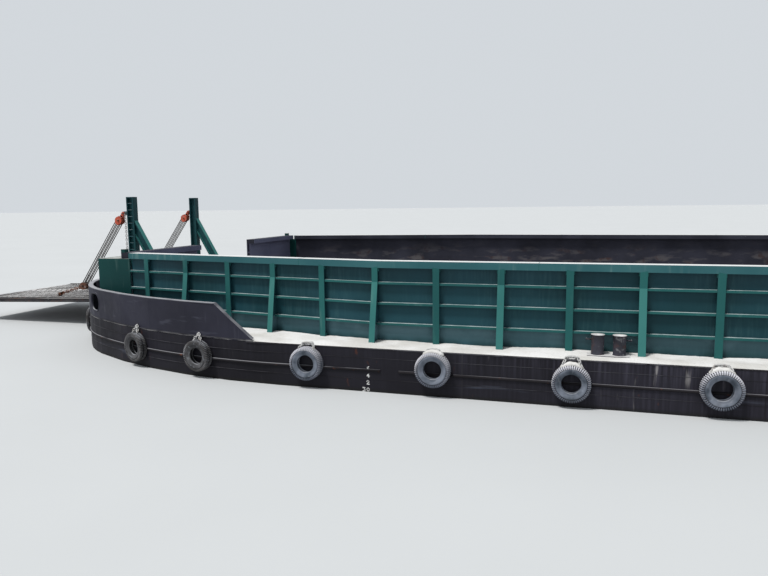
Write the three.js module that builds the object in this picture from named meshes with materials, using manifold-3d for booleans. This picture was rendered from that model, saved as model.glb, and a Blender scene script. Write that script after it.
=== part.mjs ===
// River barge: a 230 ft flat-decked cargo barge with side boards and a bow ramp, as a 1:2 model.
// Every length below is in metres of the full-size barge. +X is the bow, +Y port, +Z up, and the
// origin is on the flat keel amidships. The group's scale makes them millimetres of the model.
import * as THREE from "three";
import { mergeVertices } from "three/addons/utils/BufferGeometryUtils.js";
import Module from "manifold-3d";

const wasm = await Module();
wasm.setup();

const MODEL_SCALE = 500; // model millimetres for a metre of the full-size barge
const GAP = 0.0006; // between pieces that touch: 0.3 mm in the model
const RUNNING_GAP = 0.0008; // round a pin that turns

// Hull
const LENGTH = 70.1;
const BEAM = 19.51;
const DEPTH = 4.267;
const BILGE_RADIUS = 0.35;
const HALF = BEAM / 2;
const FRONT = LENGTH / 2;
const STERN = -LENGTH / 2;

// Bow: a wide flare arc, then a tighter corner arc, up to a flat front that carries the ramp
const FLARE_START = 23.85;
const FLARE_RADIUS = 16.4;
const FLARE_ANGLE = Math.PI / 6;
const CORNER_RADIUS = 6.2;
const BOW_STEP = Math.PI / 30;
const HEADLOG = 0.5;
const BOW_RAKE = 8;
const BOW_RAKE_RADIUS = 6;

// Stern
const STERN_RAKE = 7;
const STERN_RAKE_RADIUS = 5;
const TRANSOM_FOOT = 2.3;
const STERN_BLOCK = 26;
const STERN_CORNER = 0.7;
const SKEG = { x0: -34.6, x1: -29.2, y: 5.6, thick: 0.24, foot: 0.12, rise: 1.1 };

// Side boards: the rail's outer face is the working line
const BAY = 1.829; // stanchion spacing, 6 ft
const KNUCKLE_X = 21.137;
const RAIL_Y = 8.9;
const BEND = 0.173; // radians, where the boards turn inboard towards the bow
const BOW_BOARD = 10.09;
const BOARD = { height: 2.39, rail: 0.2, width: 0.42, plate: 0.05, web: 0.04, flange: 0.19 };
const PLATE_OUT = 0.15; // from the rail's face back to the plate
const STRINGERS = [0.575, 1.175, 1.775];
const STRINGER = { width: 0.12, thick: 0.065 };
const TUCK_CLEAR = 0.02; // between a tucked plate and the rail above it
const SLANT = 0.25; // how far the foot of a slanted stanchion stands out
const BOARD_SECTIONS = 4;
const BAYS_PER_SECTION = 7;
const BOARD_AFT = KNUCKLE_X - BOARD_SECTIONS * BAYS_PER_SECTION * BAY;

// Front walls, ramp way and lockers
const WALL_X = 31.05; // aft face of the front walls
const WALL_OUT = 6.94;
const RAMP_WAY = 2.35; // half the clear way between the front walls
const LOCKER = { x0: 31.52, x1: 32.36, y0: 4.5, y1: 7.1, height: 2.18 };
const WING = { x0: 31, thick: 0.06 }; // the locker's side plate, carried aft past the front wall

// Wear plating on the deck between the side boards
const SHEATHING = { x0: -29.85, x1: 30.9, half: 8.64, tip: 6.9, thick: 0.02 };

// Bulwark round each bow corner
const BULWARK = { height: 1.09, thick: 0.06, flange: 0.17, cap: 0.04, inboard: 3.4 };
const BULWARK_FOOT_X = 24.75;
const BULWARK_TOP_X = 26.1;
const CHOCK = { x: 32.5, width: 1.05, height: 0.66, foot: 0.26 };

// Ramp and its hoist, in the plane y = constant: x forward, z above the keel
const HINGE_X = FRONT + 0.2;
const HINGE_Z = 4.17;
const RAMP = { length: 8, half: 2.9, top: 0.15, plate: 0.04, depth: 0.2, heel: 0.12, beam: 0.12 };
const RAMP_DROOP = 0.03; // radians below level, as it lies on the bank
const RAMP_GIRDERS = [-2.82, -1.41, 0, 1.41, 2.82];
const RAMP_CROSS = [0.2, 2.05, 3.9, 5.75, 7.6];
const EYES = [-2.2, -0.75, 0.75, 2.2];
const EYE = { radius: 0.09, width: 0.2, pin: 0.04, cheek: 0.04, clear: 0.02 };
const POST = { x: 34.43, y: 2.395, length: 0.35, width: 0.3, height: 4.49, plate: 0.05 };
const BRACE = { top: 3.5, run: 2, drop: 0.7, width: 0.24, plate: 0.05, web: 0.06 };
const HEAD_PIN = { x: 34.8, z: 8.05 };
const HOIST_Y = 2.48; // the plane in which each tackle works
const HOIST_LUG_X = 3.35; // along the ramp from its hinge
const HOIST_LUG_Z = 0.28;
const LINK_ANGLE = 2.86; // the slack chain's direction at rest, radians from +X
const LINK = 1.5; // chain pin to the middle of the lower block
const HEAD_ANGLE = -0.937; // the falls' direction at rest
const BLOCK = { length: 0.4, width: 0.26, depth: 0.34, sheave: 0.15, neck: 0.2 };
const LUG = { thick: 0.06, pin: 0.03, half: 0.08 };

// Fenders
const RUB_BAR = { drop: 0.64, radius: 0.04 };
const TYRE = { radius: 0.49, bead: 0.25, width: 0.26, seat: 0.008, sides: 12 };
// How the side tyres hang, taken in turn from the bow: forward of an even step, and deck edge to axle
const TYRE_HANG = [
  { shift: -0.05, drop: 0.52 },
  { shift: -0.13, drop: 0.47 },
  { shift: -0.11, drop: 0.6 },
  { shift: 0.06, drop: 0.52 },
];
const TYRE_STEP = 2 * BAY;
const TYRE_FIRST = KNUCKLE_X + BAY;
const FENDER_SECTIONS = [
  { name: "1", x0: FLARE_START, x1: 9.5 },
  { name: "2", x0: 9.5, x1: -5.2 },
  { name: "3", x0: -5.2, x1: -19.8 },
  { name: "4", x0: -19.8, x1: -34.2 },
];
// Places on the bow curve, radians from abeam
const BOW_TYRES = [
  { angle: 0.172, drop: 0.555 },
  { angle: 0.352, drop: 0.59 },
  { angle: 1.11, drop: 0.52 },
];

// Double bollards: name, middle, and whether the pair stands fore and aft
const BOLLARD = { radius: 0.163, height: 0.56, apart: 0.545, base: 0.03, cap: 0.19, horn: 0.31 };
const BOLLARDS = [
  { name: "fore", x: 33.35, y: 4.6, turn: Math.PI / 2 },
  { name: "forward", x: 14.64, y: 9.07, turn: 0 },
  { name: "midship", x: -3.55, y: 9.07, turn: 0 },
  { name: "after", x: -21.84, y: 9.07, turn: 0 },
  { name: "stern", x: -32.6, y: 7.6, turn: Math.PI / 2 },
];

// Finishes
const finish = (color, roughness, metalness) => ({ color, roughness, metalness });
const HULL_BLACK = finish(0x2d2d3a, 0.7, 0.1);
const BOARD_GREEN = finish(0x24443f, 0.6, 0.1);
const RAIL_GREEN = finish(0x396764, 0.6, 0.1);
const RUBBER = finish(0x6e7378, 0.9, 0);
const STEEL_GREY = finish(0x4a4c50, 0.6, 0.4);
const BLOCK_ORANGE = finish(0xc8562a, 0.6, 0.1);
const BLOCK_RUST = finish(0x6b4028, 0.8, 0.2);
const RAMP_BLACK = finish(0x26262e, 0.75, 0.2);

const barge = new THREE.Group();
barge.scale.setScalar(MODEL_SCALE);

// Geometry to solid and back
function solid(geometry) {
  geometry.deleteAttribute("normal");
  geometry.deleteAttribute("uv");
  const merged = mergeVertices(geometry, 1e-6);
  return new wasm.Manifold(
    new wasm.Mesh({
      numProp: 3,
      vertProperties: merged.attributes.position.array,
      triVerts: new Uint32Array(merged.index.array),
    }),
  );
}

function geometryOf(body, mirror) {
  const { vertProperties, triVerts } = body.getMesh();
  const index = new Uint32Array(triVerts);
  const geometry = new THREE.BufferGeometry();
  geometry.setAttribute("position", new THREE.BufferAttribute(new Float32Array(vertProperties), 3));
  if (mirror) {
    geometry.scale(1, -1, 1);
    for (let i = 0; i < index.length; i += 3) [index[i + 1], index[i + 2]] = [index[i + 2], index[i + 1]];
  }
  return geometry.setIndex(new THREE.BufferAttribute(index, 1));
}

const join = (bodies) => bodies.reduce((a, b) => a.add(b));

function add(name, body, look, { at = [0, 0, 0], turn = 0, tilt = 0, mirror = false } = {}) {
  const mesh = new THREE.Mesh(geometryOf(body, mirror), new THREE.MeshStandardMaterial(look));
  const hand = mirror ? -1 : 1;
  mesh.name = name;
  mesh.position.set(at[0], at[1] * hand, at[2]);
  mesh.rotation.set(0, tilt, turn * hand);
  barge.add(mesh);
}

// The same piece to port and, mirrored, to starboard
function addPair(name, body, look, place = {}) {
  add(`${name}_port`, body, look, place);
  add(`${name}_starboard`, body, look, { ...place, mirror: true });
}

// Shapes
function box([x0, x1], [y0, y1], [z0, z1]) {
  const shape = new THREE.BoxGeometry(x1 - x0, y1 - y0, z1 - z0);
  return solid(shape.translate((x0 + x1) / 2, (y0 + y1) / 2, (z0 + z1) / 2));
}

function extrusion(points, depth) {
  const shape = new THREE.Shape(points.map(([a, b]) => new THREE.Vector2(a, b)));
  return new THREE.ExtrudeGeometry(shape, { depth, bevelEnabled: false });
}

// An outline in plan, in profile (x, z) or in section (y, z), extruded between two planes
const planBody = (points, z0, z1) => solid(extrusion(points, z1 - z0).translate(0, 0, z0));
const profileBody = (points, y0, y1) =>
  solid(extrusion(points, y1 - y0).rotateX(Math.PI / 2).translate(0, y1, 0));

function sectionBody(points, x0, x1) {
  const axes = new THREE.Matrix4().makeBasis(
    new THREE.Vector3(0, 1, 0),
    new THREE.Vector3(0, 0, 1),
    new THREE.Vector3(1, 0, 0),
  );
  return solid(extrusion(points, x1 - x0).applyMatrix4(axes).translate(x0, 0, 0));
}

function rod(radius, [x, z], [y0, y1], sides = 8, phase = 0) {
  const shape = new THREE.CylinderGeometry(radius, radius, y1 - y0, sides);
  return solid(shape.rotateY(phase).translate(x, (y0 + y1) / 2, z));
}

// A bore that a rod of this radius turns in: its flats face the rod's edges at the running gap
function bore(radius, at, span, sides = 8) {
  const half = Math.PI / sides;
  return rod((radius + RUNNING_GAP) / Math.cos(half), at, span, sides, half);
}

// Points of an arc round (a, b), from one angle to another
function arc(a, b, radius, from, to, steps) {
  return Array.from({ length: steps + 1 }, (_, i) => {
    const angle = from + ((to - from) * i) / steps;
    return [a + radius * Math.cos(angle), b + radius * Math.sin(angle)];
  });
}

// Bow curve in plan, port side. Its angle is 0 abeam and a quarter turn at the stem.
const FLARE_CENTRE = [FLARE_START, HALF - FLARE_RADIUS];
const CORNER_CENTRE = [
  FLARE_CENTRE[0] + (FLARE_RADIUS - CORNER_RADIUS) * Math.sin(FLARE_ANGLE),
  FLARE_CENTRE[1] + (FLARE_RADIUS - CORNER_RADIUS) * Math.cos(FLARE_ANGLE),
];
const FRONT_ANGLE = Math.asin((FRONT - CORNER_CENTRE[0]) / CORNER_RADIUS);

function bowPoint(angle, inset = 0) {
  const flare = angle <= FLARE_ANGLE;
  const [x, y] = flare ? FLARE_CENTRE : CORNER_CENTRE;
  const radius = (flare ? FLARE_RADIUS : CORNER_RADIUS) - inset;
  return [x + radius * Math.sin(angle), y + radius * Math.cos(angle)];
}

// Everything on the bow shares the hull's facets, which break at whole steps of the angle
function bowCurve(from, to, inset) {
  const angles = [from];
  for (let i = Math.floor(from / BOW_STEP) + 1; i * BOW_STEP < to; i++) angles.push(i * BOW_STEP);
  return [...angles, to].map((angle) => bowPoint(angle, inset));
}

const cornerAngle = (y) => Math.acos((y - CORNER_CENTRE[1]) / CORNER_RADIUS);
const flareAngle = (x) => Math.asin((x - FLARE_CENTRE[0]) / FLARE_RADIUS);
const bowAngleAt = (x) => Math.asin((x - CORNER_CENTRE[0]) / CORNER_RADIUS);

// Hull
const bilge = arc(HALF - BILGE_RADIUS, BILGE_RADIUS, BILGE_RADIUS, -Math.PI / 2, 0, 4);
const hullSection = [...bilge, [HALF, DEPTH], [-HALF, DEPTH], ...bilge.map(([y, z]) => [-y, z]).reverse()];

// The bottom's turn up into a rake: run and rise of the rake, eased by an arc where it leaves the keel
function rakePoints(tipX, tipZ, run, radius, sign) {
  const slope = Math.atan2(tipZ, run);
  const start = tipX - sign * run - sign * radius * Math.tan(slope / 2);
  return arc(start, radius, radius, -Math.PI / 2, -Math.PI / 2 + slope, 4).map(([x, z]) => [
    start + sign * (x - start),
    z,
  ]);
}

function hullBow() {
  const side = bowCurve(0, FRONT_ANGLE, 0);
  const outline = [...side, ...side.map(([x, y]) => [x, -y]).reverse()];
  const foot = DEPTH - HEADLOG;
  const keel = [
    [FLARE_START + GAP, 0],
    ...rakePoints(FRONT, foot, BOW_RAKE, BOW_RAKE_RADIUS, 1),
    [FRONT, foot],
    [FRONT, DEPTH],
    [FLARE_START + GAP, DEPTH],
  ];
  return planBody(outline, 0, DEPTH)
    .intersect(profileBody(keel, -HALF, HALF))
    .intersect(sectionBody(hullSection, FLARE_START, FRONT));
}

function hullStern() {
  const r = STERN_CORNER;
  const side = [[-STERN_BLOCK, HALF], ...arc(STERN + r, HALF - r, r, Math.PI / 2, Math.PI, 4)];
  const outline = [...side, ...side.map(([x, y]) => [x, -y]).reverse()];
  const keel = [
    [-STERN_BLOCK - GAP, 0],
    ...rakePoints(STERN, TRANSOM_FOOT, STERN_RAKE, STERN_RAKE_RADIUS, -1),
    [STERN, TRANSOM_FOOT],
    [STERN, DEPTH],
    [-STERN_BLOCK - GAP, DEPTH],
  ];
  return planBody(outline, 0, DEPTH)
    .intersect(profileBody(keel, -HALF, HALF))
    .intersect(sectionBody(hullSection, STERN, -STERN_BLOCK));
}

add("hull_bow", hullBow(), HULL_BLACK);
add("hull_midbody", sectionBody(hullSection, -STERN_BLOCK, FLARE_START), HULL_BLACK);
add("hull_stern", hullStern(), HULL_BLACK);

// Skegs under the stern rake
function skeg() {
  const outline = [
    [SKEG.x1, SKEG.foot],
    [SKEG.x0, SKEG.foot + SKEG.rise],
    [SKEG.x0, DEPTH],
    [SKEG.x1, DEPTH],
  ];
  const run = STERN_RAKE + STERN_RAKE_RADIUS * Math.tan(Math.atan2(TRANSOM_FOOT, STERN_RAKE) / 2);
  const below = [
    [STERN + run, -1],
    ...rakePoints(STERN, TRANSOM_FOOT, STERN_RAKE, STERN_RAKE_RADIUS, -1).map(([x, z]) => [x, z - GAP]),
    [STERN, TRANSOM_FOOT - GAP],
    [STERN, -1],
  ];
  const y = SKEG.y;
  return profileBody(outline, y - SKEG.thick / 2, y + SKEG.thick / 2).intersect(profileBody(below, y - 1, y + 1));
}

addPair("skeg", skeg(), HULL_BLACK);

// Side boards, in their own frame: x along the board, y outwards from the rail's face, z above deck
function stanchion(x, slanted) {
  const { web, flange, height, rail } = BOARD;
  const back = -PLATE_OUT - BOARD.plate / 2;
  const top = height - rail + web;
  const [w, f] = [web / 2, flange / 2];
  if (!slanted) {
    const tee = [[-w, back], [w, back], [w, -web], [f, -web], [f, 0], [-f, 0], [-f, -web], [-w, -web]];
    return planBody(tee.map(([a, y]) => [x + a, y]), GAP, top);
  }
  const outer = [[SLANT, GAP], [0, STRINGERS[2]], [0, top]];
  const inner = outer.map(([y, z]) => [y - web, z]);
  const middle = outer.map(([y, z]) => [y - web / 2, z]);
  const plate = sectionBody([[back, top], [back, GAP], ...middle], x - w, x + w);
  return plate.add(sectionBody([...outer, ...inner.reverse()], x - f, x + f));
}

// A tuck carries the plate on past both ends, below the rails of the boards it meets
function boardPanel(length, stations, tuck = 0) {
  const span = [0, length];
  const plateIn = -PLATE_OUT - BOARD.plate;
  const railFoot = BOARD.height - BOARD.rail;
  return join([
    box(span, [plateIn, -PLATE_OUT], [GAP, railFoot + BOARD.web]),
    ...(tuck ? [box([-tuck, length + tuck], [plateIn, -PLATE_OUT], [GAP, railFoot - TUCK_CLEAR])] : []),
    box(span, [-BOARD.width, 0], [railFoot, BOARD.height]),
    ...STRINGERS.map((z) => {
      const out = -PLATE_OUT + STRINGER.width;
      return box(span, [-PLATE_OUT - BOARD.plate / 2, out], [z - STRINGER.thick, z]);
    }),
    ...stations.map(({ x, slanted }) => stanchion(x, slanted)),
  ]);
}

// Stanchions stand on the stations; every second one, counted from the knuckle, is slanted
function stationsOf(first, count, start) {
  return Array.from({ length: count }, (_, i) => ({
    x: start + i * BAY,
    slanted: (first + i) % 2 === 0,
  }));
}

const sectionLength = BAYS_PER_SECTION * BAY;
for (let i = 0; i < BOARD_SECTIONS; i++) {
  const aftStation = -(i + 1) * BAYS_PER_SECTION;
  const stations = stationsOf(aftStation, BAYS_PER_SECTION, BOARD.flange / 2 + GAP);
  addPair(`side_board_${i + 1}`, boardPanel(sectionLength - GAP, stations), BOARD_GREEN, {
    at: [KNUCKLE_X + aftStation * BAY - BOARD.flange / 2, RAIL_Y, DEPTH],
  });
}
const bowStations = stationsOf(0, 6, BOARD.flange / 2 + GAP);
const mitre = 0.5 * Math.tan(BEND); // the bow board's after end is cut square to the hull
const mitreCut = planBody([[-1, -0.5], [mitre, -0.5], [-mitre, 0.5], [-1, 0.5]], -1, BOARD.height + 1);
addPair("side_board_bow", boardPanel(BOW_BOARD, bowStations).subtract(mitreCut), BOARD_GREEN, {
  at: [KNUCKLE_X - BOARD.flange / 2 + 2 * GAP, RAIL_Y, DEPTH],
  turn: -BEND,
});

// Aft wall between the side boards, and the front walls to each side of the ramp way
const innerWidth = 2 * (RAIL_Y - BOARD.width - GAP);
const aftBays = Math.floor((innerWidth - BOARD.flange) / BAY);
const aftStart = (innerWidth - aftBays * BAY) / 2;
const aftTuck = BOARD.width - PLATE_OUT - BOARD.plate;
add("aft_wall", boardPanel(innerWidth, stationsOf(1, aftBays + 1, aftStart), aftTuck), BOARD_GREEN, {
  at: [BOARD_AFT - BOARD.flange / 2, -innerWidth / 2, DEPTH],
  turn: Math.PI / 2,
});
const wallLength = WALL_OUT - RAMP_WAY;
const wallStations = [0, 1, 2].map((i) => ({
  x: BOARD.flange / 2 + (i * (wallLength - BOARD.flange)) / 2,
  slanted: false,
}));
addPair("front_wall", boardPanel(wallLength, wallStations), RAMP_BLACK, {
  at: [WALL_X + BOARD.width, WALL_OUT, DEPTH],
  turn: -Math.PI / 2,
});

// Locker ahead of each front wall, with a wing that closes the corner to the side board
function locker() {
  const { x0, x1, y0, y1, height } = LOCKER;
  const wing = [[x0, y1 - WING.thick], [WING.x0, y1 - WING.thick], [WING.x0, y1]];
  return planBody([[x0, y0], ...wing, [x1, y1], [x1, y0]].reverse(), GAP, height);
}
addPair("wing_locker", locker(), BOARD_GREEN, { at: [0, 0, DEPTH] });

function sheathing() {
  const { x0, x1, half, tip, thick } = SHEATHING;
  const side = [[x0, half], [KNUCKLE_X, half], [x1, tip]];
  return planBody([...side, ...side.map(([x, y]) => [x, -y]).reverse()], GAP, GAP + thick);
}
add("deck_sheathing", sheathing(), RAMP_BLACK, { at: [0, 0, DEPTH] });

// Bulwark: a plate on the bow curve with a cap flange, sloped down at its after end
function bulwark() {
  const { height, thick, flange, cap } = BULWARK;
  const to = cornerAngle(BULWARK.inboard);
  const from = flareAngle(BULWARK_FOOT_X);
  const top = flareAngle(BULWARK_TOP_X);
  const ring = (start, inset, z0, z1) =>
    planBody([...bowCurve(start, to, 0), ...bowCurve(start, to, inset).reverse()], z0, z1);
  const plate = ring(from, thick, GAP, height);
  const slope = [
    [BULWARK_FOOT_X - 1, -1],
    [BULWARK_FOOT_X - 1, height + 1],
    [BULWARK_TOP_X, height + 1],
    [BULWARK_TOP_X, height],
    [BULWARK_FOOT_X, 0.06],
    [BULWARK_FOOT_X, -1],
  ];
  const rim = [
    [BULWARK_FOOT_X, 0.06],
    [BULWARK_TOP_X, height],
    [BULWARK_TOP_X, height - cap],
    [BULWARK_FOOT_X + cap, 0.06],
  ];
  const band = ring(from, flange, GAP, height).intersect(profileBody(rim, 0, HALF));
  return join([plate.subtract(profileBody(slope, 0, HALF + 1)), ring(top, flange, height - cap, height), band])
    .subtract(chockOpening());
}

function chockOpening() {
  const angle = bowAngleAt(CHOCK.x);
  const [x, y] = bowPoint(angle);
  const r = CHOCK.height / 2;
  const half = CHOCK.width / 2 - r;
  const outline = [
    ...arc(half, r, r, -Math.PI / 2, Math.PI / 2, 6),
    ...arc(-half, r, r, Math.PI / 2, (3 * Math.PI) / 2, 6),
  ];
  const hole = extrusion(outline, 1).rotateX(Math.PI / 2).translate(0, 0.5, CHOCK.foot);
  return solid(hole.rotateZ(-angle).translate(x, y, 0));
}
addPair("bulwark", bulwark(), HULL_BLACK, { at: [0, 0, DEPTH] });

// Ramp post: an H-section with its web fore and aft, and a raking brace behind it
function rampPost() {
  const { length, width, height, plate } = POST;
  const [front, back, half] = [length / 2, -length / 2, width / 2];
  const slope = Math.atan2(BRACE.top, BRACE.run);
  const root = back + plate / 2;
  const limb = (from, to) => [
    [root, BRACE.top - from],
    [root, BRACE.top - to],
    [root - (BRACE.top - to) / Math.tan(slope), GAP],
    [root - (BRACE.top - from) / Math.tan(slope), GAP],
  ];
  const flange = BRACE.plate / Math.cos(slope);
  const reach = BRACE.width / 2;
  return join([
    box([back, back + plate], [-half, half], [GAP, height]),
    box([front - plate, front], [-half, half], [GAP, height]),
    box([back, front], [-plate / 2, plate / 2], [GAP, height]),
    box([back, front], [-half, half], [height - plate, height]),
    profileBody(limb(0, flange), -reach, reach),
    profileBody(limb(BRACE.drop - flange, BRACE.drop), -reach, reach),
    profileBody(limb(0, BRACE.drop), -BRACE.web / 2, BRACE.web / 2),
  ]);
}

// A lug with a pin through it, pointing along +z from its foot, with the pin at the origin
function pinnedLug(foot) {
  const { thick, pin, half } = LUG;
  return join([
    box([-half, half], [-thick / 2, thick / 2], [-foot, 0]),
    box([-half * 0.6, half * 0.6], [-thick / 2, thick / 2], [-0.01, half]),
    rod(pin, [0, 0], [-thick / 2 - 0.08, thick / 2 + 0.08]),
  ]);
}

function turned(body, tilt, [x, y, z]) {
  const geometry = geometryOf(body, false);
  return solid(geometry.rotateY(tilt).translate(x, y, z));
}

const headFoot = HEAD_PIN.x - POST.x - POST.length / 2 + 0.02;
const headLug = turned(pinnedLug(headFoot), Math.PI / 2, [
  HEAD_PIN.x - POST.x,
  HOIST_Y - POST.y,
  HEAD_PIN.z - DEPTH,
]);
addPair("ramp_post", rampPost().add(headLug), RAIL_GREEN, { at: [POST.x, POST.y, DEPTH] });

// A fork that straddles a pinned lug, reaching along +z to where its neck begins
function fork(reach) {
  const inner = LUG.thick / 2 + 0.012;
  const outer = inner + 0.03;
  const half = LUG.half - 0.01;
  const cheek = (y0, y1) => box([-half, half], [y0, y1], [-half, reach]);
  const bridge = box([-half, half], [-outer, outer], [reach - 0.05, reach]);
  return join([cheek(inner, outer), cheek(-outer, -inner), bridge]).subtract(bore(LUG.pin, [0, 0], [-1, 1]));
}

// A tackle block along +z: two cheeks, a sheave between them and its pin
function tackleBlock(middle) {
  const { length, width, depth, sheave } = BLOCK;
  const cheek = [
    [-depth * 0.2, middle - length / 2],
    [depth * 0.2, middle - length / 2],
    [depth / 2, middle],
    [depth * 0.2, middle + length / 2],
    [-depth * 0.2, middle + length / 2],
    [-depth / 2, middle],
  ];
  return join([
    profileBody(cheek, width / 2 - 0.03, width / 2),
    profileBody(cheek, -width / 2, -width / 2 + 0.03),
    rod(sheave, [0, middle], [-width / 2 + 0.01, width / 2 - 0.01], 10),
    box([-0.04, 0.04], [-width / 2 + 0.01, width / 2 - 0.01], [middle - length / 2, middle - length / 2 + 0.06]),
  ]);
}

const headMiddle = BLOCK.neck + BLOCK.length / 2;
const headBlock = fork(BLOCK.neck).add(tackleBlock(headMiddle - 0.01));
addPair("head_block", headBlock, BLOCK_ORANGE, {
  at: [HEAD_PIN.x, HOIST_Y, HEAD_PIN.z],
  tilt: Math.PI / 2 - HEAD_ANGLE,
});

// Hoist link: a fork on the ramp's lug, a run of chain and the lower block
function hoistLink() {
  const chainFrom = 0.15;
  const chainTo = LINK - BLOCK.length / 2 + 0.02;
  const count = 5;
  const pitch = (chainTo - chainFrom) / count;
  const links = Array.from({ length: count }, (_, i) => {
    const z0 = chainFrom + i * pitch;
    const [wide, thin] = [0.045, 0.018];
    const [a, b] = i % 2 ? [wide, thin] : [thin, wide];
    return box([-a, a], [-b, b], [z0 - 0.02, z0 + pitch + 0.02]);
  });
  return join([fork(chainFrom + 0.02), ...links, tackleBlock(LINK)]);
}

// A point of the ramp's own frame, x along it and z above its hinge, as it lies at rest
function onRamp(x, z) {
  const [c, s] = [Math.cos(RAMP_DROOP), Math.sin(RAMP_DROOP)];
  return [HINGE_X + x * c + z * s, HINGE_Z - x * s + z * c];
}

const [linkX, linkZ] = onRamp(HOIST_LUG_X, HOIST_LUG_Z);
addPair("hoist_link", hoistLink(), BLOCK_RUST, {
  at: [linkX, HOIST_Y, linkZ],
  tilt: Math.PI / 2 - LINK_ANGLE,
});

// Ramp: plating with the hoist lugs, over a grillage whose heel carries the hinge eyes
function rampPlate() {
  const { length, half, top, plate, heel } = RAMP;
  const deck = [
    [heel, top - plate],
    [heel, top],
    [length - 0.25, top],
    [length, top - 0.1],
    [length, top - 0.12],
    [length - 0.1, top - 0.12],
    [length - 0.3, top - plate],
  ];
  const foot = HOIST_LUG_Z - top + 0.01;
  return join([
    profileBody(deck, -half, half),
    ...[-1, 1].map((side) => turned(pinnedLug(foot), 0, [HOIST_LUG_X, side * HOIST_Y, HOIST_LUG_Z])),
  ]);
}

function rampGrillage() {
  const { length, top, plate, depth, heel, beam, half } = RAMP;
  const under = [top - depth, top - plate - GAP];
  const r = EYE.radius;
  const cross = RAMP_CROSS.map((x) => box([x - beam / 2, x + beam / 2], [-half + 0.02, half - 0.02], under));
  const along = RAMP_GIRDERS.map((y) => {
    const side = [
      [heel, under[0]],
      [length - 0.9, under[0]],
      [length - 0.32, under[1] - 0.04],
      [length - 0.32, under[1]],
      [heel, under[1]],
    ];
    return profileBody(side, y - beam / 2, y + beam / 2);
  });
  const eyes = EYES.map((y) => {
    const across = [y - EYE.width / 2, y + EYE.width / 2];
    const nose = [[heel + 0.05, -0.05], [heel + 0.05, r], [-r / 2, r], [-r, 0], [-r / 2, -r], [0, -r]];
    return profileBody(nose, across[0], across[1]);
  });
  const bores = EYES.map((y) => bore(EYE.pin, [0, 0], [y - EYE.width, y + EYE.width]));
  return join([...cross, ...along, ...eyes]).subtract(join(bores));
}

const rampPlace = { at: [HINGE_X, 0, HINGE_Z], tilt: RAMP_DROOP };
add("ramp_plate", rampPlate(), RAMP_BLACK, rampPlace);
add("ramp_grillage", rampGrillage(), RAMP_BLACK, rampPlace);

// Hinge lugs on the front of the hull, a pair and a pin for each eye
function hingeLugs() {
  const aft = FRONT - HINGE_X + GAP;
  const r = EYE.radius;
  const plates = EYES.flatMap((y) =>
    [-1, 1].map((side) => {
      const inner = y + side * (EYE.width / 2 + EYE.clear);
      const outer = inner + side * EYE.cheek;
      const across = [Math.min(inner, outer), Math.max(inner, outer)];
      return profileBody([[aft, -r], [r / 2, -r], [r, 0], [r / 2, r], [aft, r]], across[0], across[1]);
    }),
  );
  const pins = EYES.map((y) => {
    const reach = EYE.width / 2 + EYE.clear + EYE.cheek + 0.02;
    return rod(EYE.pin, [0, 0], [y - reach, y + reach]);
  });
  const backing = box([aft, aft + 0.04], [-2.6, 2.6], [-0.2, EYE.radius]);
  return join([backing, ...plates, ...pins]);
}
add("ramp_hinge_lugs", hingeLugs(), STEEL_GREY, { at: [HINGE_X, 0, HINGE_Z] });

// Tyre fender with its hanging chain, axle along y, its back at y = 0 and the deck edge at z = 0
function tyre(drop) {
  const { radius, bead, width } = TYRE;
  const shoulder = radius - 0.05;
  const profile = [
    [bead, width / 2],
    [shoulder, 0],
    [radius, width / 2],
    [shoulder, width],
    [bead, width / 2],
  ].map(([r, y]) => new THREE.Vector2(r, y));
  const ring = solid(new THREE.LatheGeometry(profile, TYRE.sides).translate(0, 0, -drop));
  return ring.add(box([-0.03, 0.03], [0, 0.05], [-drop + bead + 0.1, -0.02]));
}

function placed(body, turn, x, y, z) {
  return solid(geometryOf(body, false).rotateZ(turn).translate(x, y, z));
}

function rubBarSection(x0, x1) {
  const half = arc(HALF + GAP, DEPTH - RUB_BAR.drop, RUB_BAR.radius, -Math.PI / 2, Math.PI / 2, 3);
  return sectionBody(half, x0, x1);
}

for (const { name, x0, x1 } of FENDER_SECTIONS) {
  const count = Math.floor((TYRE_FIRST - STERN) / TYRE_STEP) + 1;
  const tyres = Array.from({ length: count }, (_, i) => {
    const { shift, drop } = TYRE_HANG[i % TYRE_HANG.length];
    return { x: TYRE_FIRST - i * TYRE_STEP + shift, drop };
  })
    .filter(({ x }) => x < x0 && x > x1)
    .map(({ x, drop }) => placed(tyre(drop), 0, x, HALF + TYRE.seat, DEPTH));
  addPair(`fender_${name}`, join([rubBarSection(x1 + GAP, x0), ...tyres]), RUBBER);
}

// The rub bar round the bow, drawn as rings so that it follows the curve
function bowFender() {
  const to = cornerAngle(BULWARK.inboard);
  const z = DEPTH - RUB_BAR.drop;
  const r = RUB_BAR.radius;
  const ring = (out, tall) =>
    planBody([...bowCurve(0, to, -GAP), ...bowCurve(0, to, -out).reverse()], z - tall, z + tall);
  const tyres = BOW_TYRES.map(({ angle, drop }) => {
    const [x, y] = bowPoint(angle, -TYRE.seat);
    return placed(tyre(drop), -angle, x, y, DEPTH);
  });
  return join([ring(r * 0.7, r), ring(r, r * 0.6), ...tyres]);
}
addPair("fender_bow", bowFender(), RUBBER);

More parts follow.
